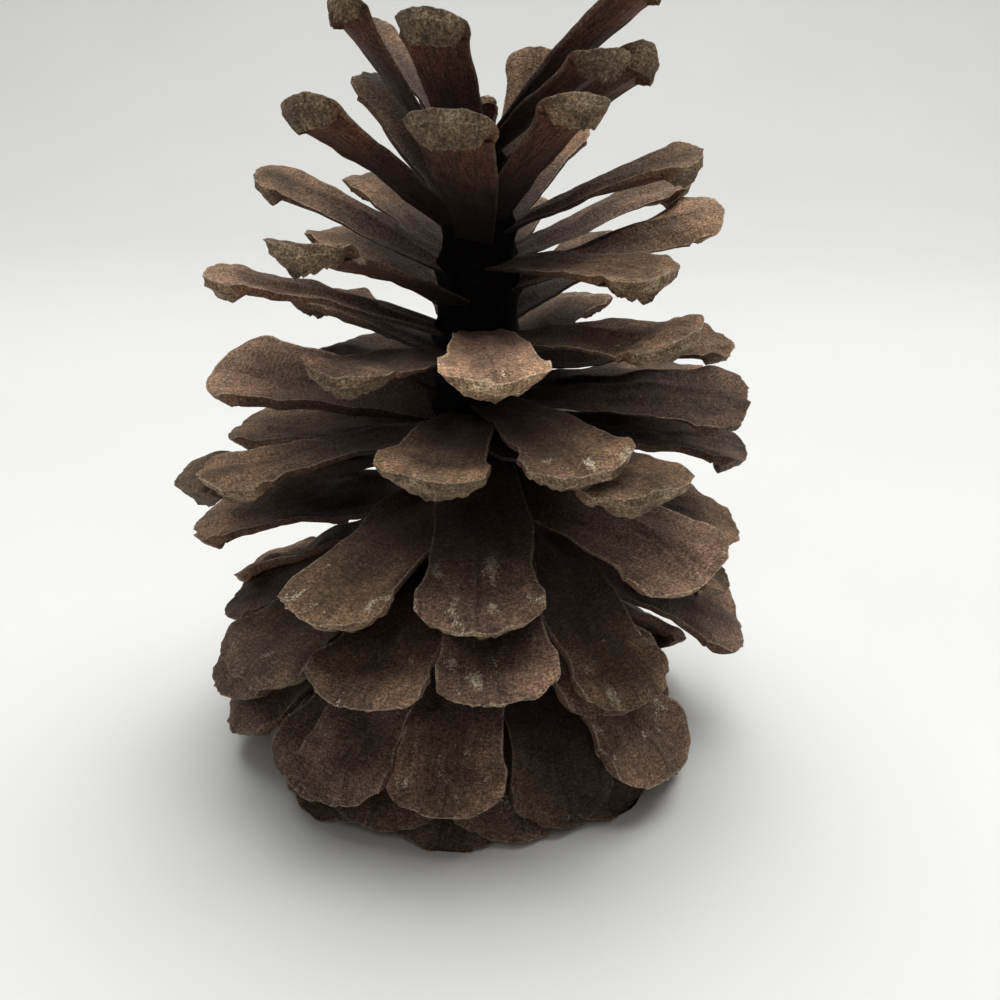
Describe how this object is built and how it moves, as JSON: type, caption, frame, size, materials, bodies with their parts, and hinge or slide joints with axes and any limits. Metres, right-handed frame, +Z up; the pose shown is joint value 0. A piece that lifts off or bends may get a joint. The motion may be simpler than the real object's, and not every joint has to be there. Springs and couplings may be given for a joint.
{
  "type": "pine cone",
  "caption": "Open, dry pine cone standing on its base, with long woody scales on one spiral round an upright axis.",
  "frame": {"origin": "centre of the cone's bounding box, on the surface that its lowest scale tips stand on", "axes": "+Z up along the cone's axis; -Y is the front, as the picture sees it"},
  "size_m": [0.1252, 0.1224, 0.1598],
  "materials": {
    "cone_wood": "dry, matt, fibrous brown wood, greyer on the upper faces and darker beneath"
  },
  "bodies": {
    "root": {"pine_cone": "cone_wood"}
  },
  "joints": []
}
